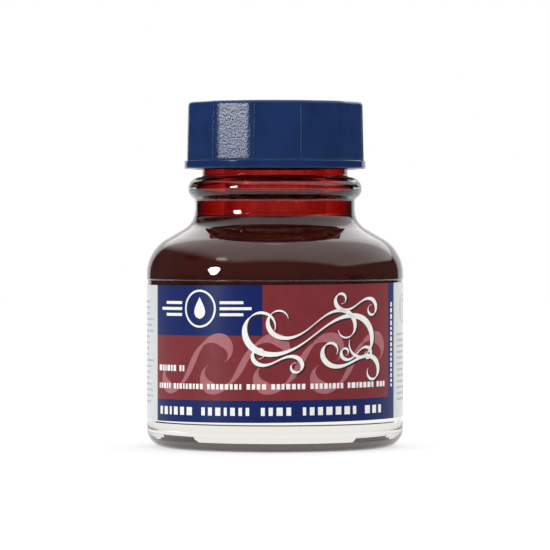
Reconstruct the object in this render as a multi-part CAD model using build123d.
from build123d import *
import os
from math import cos, pi, radians, sin, sqrt

# A 30 ml glass ink bottle with a twelve-sided screw cap, in millimetres.
# The origin is the centre of the circle that the bottle stands on, +Z runs up the bottle's axis,
# and the label's front faces -Y. Six separate pieces: the glass, the ink in it, the paper label
# round it, the moulded cap, and the two layers of the cap's liner, which lift with the cap but
# don't turn with it.

# ---- glass: body -----------------------------------------------------------------------------
BODY_R = 22.0
BEARING_R = 18.8          # outer edge of the ring that the bottle stands on
PUNT_R = 15.4             # inner edge of that ring
PUNT_RISE = 1.1           # how far the underside is pushed up in the middle
PANEL_DEPTH = 0.15        # the panel for the label is sunk this deep
PANEL_LOW, PANEL_HIGH = 4.5, 28.6
PANEL_RAMP = 0.2          # height of the ramp at each end of the panel
SHOULDER_LOW = 29.6       # where the straight side turns in
SHOULDER_ROUND = 7.0
SHOULDER_TURN = 60.0      # degrees that the side turns before it runs straight to the neck
NECK_R = 13.72
NECK_ROUND = 3.6          # the hollow curve from the shoulder to the neck

# ---- glass: neck bead and threaded finish (28 mm, one start, six threads to the inch) ----------
BEAD_R = 14.9
BEAD_Z = 44.2
BEAD_ROUND = 2.0
BEAD_LOW_FILLET = 0.5     # between the bead and the neck under it
BEAD_HIGH_FILLET = 0.4    # between the bead and the finish over it
FINISH_R = 12.48          # the neck under the thread
RIM_Z = 56.6
LIP_ROUND = 0.8
PITCH = 25.4 / 6
GLASS_THREAD_R = 13.7     # over the thread
GLASS_THREAD_ROUND = 1.15
GLASS_THREAD_TOP = 54.2   # middle of the thread where it starts, near the rim
GLASS_THREAD_TURNS = 1.25
GLASS_THREAD_ANGLE = 0    # direction of the thread's low end, in degrees from +X

# ---- glass: inside ---------------------------------------------------------------------------
INNER_R = 18.4
FLOOR_Z = 7.4             # at the foot of the inner wall
FLOOR_RISE = 1.0          # the floor is pushed up too, over the punt
INNER_HEEL = 4.2
INNER_SHOULDER_LOW = 30.8  # the wall is thinnest over the shoulder
INNER_SHOULDER_ROUND = 4.0
NECK_BORE_R = 8.75
INNER_NECK_ROUND = 2.0
MOUTH_BORE_R = 9.0        # the stretch shaped by the plunger, up to the rim
MOUTH_BORE_LOW = 49.0
MOUTH_LIP_ROUND = 0.6

# ---- ink and label -----------------------------------------------------------------------------
INK_LEVEL = 39.0          # at the foot of the neck
LABEL_T = 0.12
LABEL_LOW, LABEL_HIGH = 5.1, 28.0
LABEL_GAP = 22.5          # degrees left bare at the back, where the label's ends face each other

# ---- cap ---------------------------------------------------------------------------------------
SIDES = 12
FACET_R = 15.1            # to the middle of a flat, at the foot of the flats
FACET_TOP_R = 14.87
FACET_TURN = 17.0         # direction of one corner, in degrees from the front towards +X
CORNER_ROUND = 5.4
SEAM_R = 0.2              # the fine raised line down each corner
SEAM_OUT = 0.07           # how far it stands out
CAP_LOW = 47.56
FLANGE_HIGH = 49.0
FLANGE_R = 15.55
FLANGE_ROUND = 0.25
CAP_EDGE_Z = 59.0
CAP_EDGE_ROUND = 0.6
CAP_DOME = 0.3
CAP_BORE_R = 13.95
CAP_CEILING = 57.6
CAP_THREAD_R = 12.8       # inside the thread
CAP_THREAD_ROUND = 0.967
CAP_THREAD_TURNS = 1.0
CAP_THREAD_DROP = 2.0     # the cap's thread lies this far under the glass's
CAP_THREAD_ANGLE = 180    # it starts half a turn further on, clear of the cap's lower edge
CAP_LEAD_IN = 0.4
KEEPER_R = 13.62          # the bead that keeps the liner in the cap
KEEPER_ROUND = 0.5
KEEPER_Z = 56.15

# ---- liner -------------------------------------------------------------------------------------
LINER_R = 13.55
FACING_T = 0.15

CUTTER_SPARE = 1.0        # how far a cutter stands out past the face that it opens


def spun(outline):
    """The solid that a closed outline makes when it is turned round the bottle's axis."""
    return revolve(Plane.XZ * make_face(outline), Axis.Z)


def along(start, turned, length):
    """The point a length away from start, in a direction given in degrees from +X."""
    return start[0] + length * cos(radians(turned)), start[1] + length * sin(radians(turned))


def shoulder_line(low_point, rounding, neck_r, neck_round):
    """The edges from a straight side to a straight neck: an arc, a straight slope and an arc.

    The slope is as long as it has to be for the last arc to end at the neck's radius.
    """
    first = JernArc(low_point, (0, 1), rounding, SHOULDER_TURN)
    slope = 90 + SHOULDER_TURN
    reach = neck_round * (1 - cos(radians(SHOULDER_TURN)))
    run = ((first @ 1).X - neck_r - reach) / -cos(radians(slope))
    straight = Line(first @ 1, along(((first @ 1).X, (first @ 1).Y), slope, run))
    last = JernArc(straight @ 1, straight % 1, neck_round, -SHOULDER_TURN)
    return [first, straight, last]


def dome_line(radius, foot_z, rise):
    """A shallow arc from its highest point, on the axis, down to its foot at a radius."""
    height_at_half = foot_z + rise * (1 - 0.5**2)
    return ThreePointArc((0, foot_z + rise), (radius / 2, height_at_half), (radius, foot_z))


def inside_wall():
    """The inner outline from the middle of the floor up to the top of the neck's bore."""
    heel_centre = (INNER_R - INNER_HEEL, FLOOR_Z + INNER_HEEL)
    foot = (heel_centre[0], FLOOR_Z)
    floor = dome_line(foot[0], FLOOR_Z, FLOOR_RISE)
    heel = JernArc(foot, (1, 0), INNER_HEEL, 90)
    side = Line(heel @ 1, (INNER_R, INNER_SHOULDER_LOW))
    shoulder = shoulder_line(side @ 1, INNER_SHOULDER_ROUND, NECK_BORE_R, INNER_NECK_ROUND)
    return [floor, heel, side] + shoulder


def bead_height_at(radius):
    """How far above and below its middle the bead's outline crosses a radius."""
    return sqrt(BEAD_ROUND**2 - (radius - BEAD_R + BEAD_ROUND) ** 2)


def outside_wall():
    """The outer outline of the glass from the middle of the underside up to the rim."""
    panel_r = BODY_R - PANEL_DEPTH
    heel_round = BODY_R - BEARING_R
    lower = [
        dome_line(PUNT_R, 0, PUNT_RISE),
        Line((PUNT_R, 0), (BEARING_R, 0)),
        JernArc((BEARING_R, 0), (1, 0), heel_round, 90),
        Polyline(
            (BODY_R, heel_round),
            (BODY_R, PANEL_LOW),
            (panel_r, PANEL_LOW + PANEL_RAMP),
            (panel_r, PANEL_HIGH),
            (BODY_R, PANEL_HIGH + PANEL_RAMP),
            (BODY_R, SHOULDER_LOW),
        ),
    ]
    shoulder = shoulder_line((BODY_R, SHOULDER_LOW), SHOULDER_ROUND, NECK_R, NECK_ROUND)
    bead_low = (NECK_R, BEAD_Z - bead_height_at(NECK_R))
    bead_high = (FINISH_R, BEAD_Z + bead_height_at(FINISH_R))
    upper = [
        Line(shoulder[-1] @ 1, bead_low),
        ThreePointArc(bead_low, (BEAD_R, BEAD_Z), bead_high),
        Line(bead_high, (FINISH_R, RIM_Z - LIP_ROUND)),
        JernArc((FINISH_R, RIM_Z - LIP_ROUND), (0, 1), LIP_ROUND, 90),
    ]
    return lower + shoulder + upper


def thread(helix_r, rounding, z_low, turns, start_angle):
    """A round thread: a pipe along a helix, with a ball at each end so that it runs out softly."""
    path = Helix(PITCH, PITCH * turns, helix_r)
    pipe = sweep(Plane(origin=path @ 0, z_dir=path % 0) * Circle(rounding), path, is_frenet=True)
    balls = [Pos(path @ end) * Sphere(rounding) for end in (0, 1)]
    return Pos(0, 0, z_low) * Rot(0, 0, start_angle) * (pipe + balls)


def round_corner(outline, corner, radius):
    """The face of an outline with one of its corners rounded."""
    return fillet(outline.vertices().sort_by_distance(corner)[0], radius)


def glass_bottle():
    inside = inside_wall()
    outside = outside_wall()
    mouth_r = MOUTH_BORE_R + MOUTH_LIP_ROUND
    rim = [
        Line(outside[-1] @ 1, (mouth_r, RIM_Z)),
        JernArc((mouth_r, RIM_Z), (-1, 0), MOUTH_LIP_ROUND, 90),
        Polyline(
            (MOUTH_BORE_R, RIM_Z - MOUTH_LIP_ROUND),
            (MOUTH_BORE_R, MOUTH_BORE_LOW),
            (NECK_BORE_R, MOUTH_BORE_LOW - MOUTH_BORE_R + NECK_BORE_R),
            inside[-1] @ 1,
        ),
    ]
    middle = Line((0, PUNT_RISE), (0, FLOOR_Z + FLOOR_RISE))
    profile = make_face(outside + rim + inside + [middle])
    profile = round_corner(profile, (NECK_R, BEAD_Z - bead_height_at(NECK_R)), BEAD_LOW_FILLET)
    bead_high = (FINISH_R, BEAD_Z + bead_height_at(FINISH_R))
    profile = round_corner(profile, bead_high, BEAD_HIGH_FILLET)
    body = revolve(Plane.XZ * profile, Axis.Z)
    ridge = thread(
        GLASS_THREAD_R - GLASS_THREAD_ROUND,
        GLASS_THREAD_ROUND,
        GLASS_THREAD_TOP - PITCH * GLASS_THREAD_TURNS,
        GLASS_THREAD_TURNS,
        GLASS_THREAD_ANGLE,
    )
    return body + ridge


def ink():
    inside = inside_wall()
    neck_foot = inside[-1] @ 1
    closing = Polyline(neck_foot, (0, neck_foot.Y), (0, FLOOR_Z + FLOOR_RISE))
    return split(spun(inside + [closing]), Plane.XY.offset(INK_LEVEL), keep=Keep.BOTTOM)


def wrap_label():
    inner = BODY_R - PANEL_DEPTH
    middle = (inner + LABEL_T / 2, (LABEL_LOW + LABEL_HIGH) / 2)
    strip = Pos(*middle) * Rectangle(LABEL_T, LABEL_HIGH - LABEL_LOW)
    turned = revolve(Plane.XZ * strip, Axis.Z, 360 - LABEL_GAP)
    return Rot(0, 0, 90 + LABEL_GAP / 2) * turned


def flats(apothem, z):
    """The cap's twelve-sided outline with rounded corners, at one height."""
    corner_r = apothem / cos(pi / SIDES)
    outline = RegularPolygon(corner_r, SIDES, rotation=FACET_TURN - 90)
    outline = fillet(outline.vertices(), CORNER_ROUND * apothem / FACET_R)
    return Pos(0, 0, z) * outline


def corner_seams():
    """The fine raised line down each corner, leaning in as the flats do."""
    rounded_off = CORNER_ROUND * (1 / cos(pi / SIDES) - 1)
    low_r = FACET_R / cos(pi / SIDES) - rounded_off + SEAM_OUT - SEAM_R
    high_z = CAP_EDGE_Z - CAP_EDGE_ROUND - SEAM_R
    lean = (FACET_R - FACET_TOP_R) / (CAP_EDGE_Z - FLANGE_HIGH)
    low = Vector(low_r + lean * SEAM_R, 0, FLANGE_HIGH - SEAM_R)
    high = Vector(low_r - lean * (high_z - FLANGE_HIGH), 0, high_z)
    rod = Plane(origin=low, z_dir=high - low) * Cylinder(
        SEAM_R, (high - low).length, align=(Align.CENTER, Align.CENTER, Align.MIN)
    )
    seam = rod + Pos(high) * Sphere(SEAM_R)
    return [Rot(0, 0, FACET_TURN - 90 + n * 360 / SIDES) * seam for n in range(SIDES)]


def cap_shell():
    faceted = loft([flats(FACET_R, FLANGE_HIGH), flats(FACET_TOP_R, CAP_EDGE_Z)], ruled=True)
    faceted = fillet(faceted.faces().sort_by(Axis.Z)[-1].edges(), CAP_EDGE_ROUND)
    crown_r = FACET_TOP_R - CAP_EDGE_ROUND
    crown = spun(
        [
            Line((0, CAP_EDGE_Z - CAP_DOME), (0, CAP_EDGE_Z + CAP_DOME)),
            dome_line(crown_r, CAP_EDGE_Z, CAP_DOME),
            Polyline(
                (crown_r, CAP_EDGE_Z), (crown_r, CAP_EDGE_Z - CAP_DOME), (0, CAP_EDGE_Z - CAP_DOME)
            ),
        ]
    )
    flange = Pos(0, 0, CAP_LOW) * Cylinder(
        FLANGE_R, FLANGE_HIGH - CAP_LOW, align=(Align.CENTER, Align.CENTER, Align.MIN)
    )
    flange = fillet(flange.edges().filter_by(GeomType.CIRCLE), FLANGE_ROUND)
    outside = faceted + crown + flange + corner_seams()
    keeper_middle = KEEPER_R + KEEPER_ROUND
    hollow = spun(
        [
            Polyline(
                (0, CAP_CEILING),
                (0, CAP_LOW - CUTTER_SPARE),
                (CAP_BORE_R + CAP_LEAD_IN + CUTTER_SPARE, CAP_LOW - CUTTER_SPARE),
                (CAP_BORE_R, CAP_LOW + CAP_LEAD_IN),
                (CAP_BORE_R, CAP_CEILING),
                (0, CAP_CEILING),
            )
        ]
    )
    keeper = Pos(0, 0, KEEPER_Z) * Torus(keeper_middle, KEEPER_ROUND)
    ridge = thread(
        CAP_THREAD_R + CAP_THREAD_ROUND,
        CAP_THREAD_ROUND,
        GLASS_THREAD_TOP - PITCH * GLASS_THREAD_TURNS - CAP_THREAD_DROP + PITCH / 2,
        CAP_THREAD_TURNS,
        CAP_THREAD_ANGLE,
    )
    return outside - hollow + keeper + ridge


def disc(radius, low, high):
    return Pos(0, 0, low) * Cylinder(
        radius, high - low, align=(Align.CENTER, Align.CENTER, Align.MIN)
    )


def liner_facing():
    return disc(LINER_R, RIM_Z, RIM_Z + FACING_T)


def liner_backing():
    return disc(LINER_R, RIM_Z + FACING_T, CAP_CEILING)


PIECES = {
    "glass_bottle": glass_bottle,
    "ink": ink,
    "wrap_label": wrap_label,
    "cap_shell": cap_shell,
    "liner_facing": liner_facing,
    "liner_backing": liner_backing,
}

os.makedirs("parts", exist_ok=True)
for name, make in PIECES.items():
    piece = make()
    export_step(piece, f"parts/{name}.step")
    print(f"{name}: {piece.volume / 1000:.3f} ml")
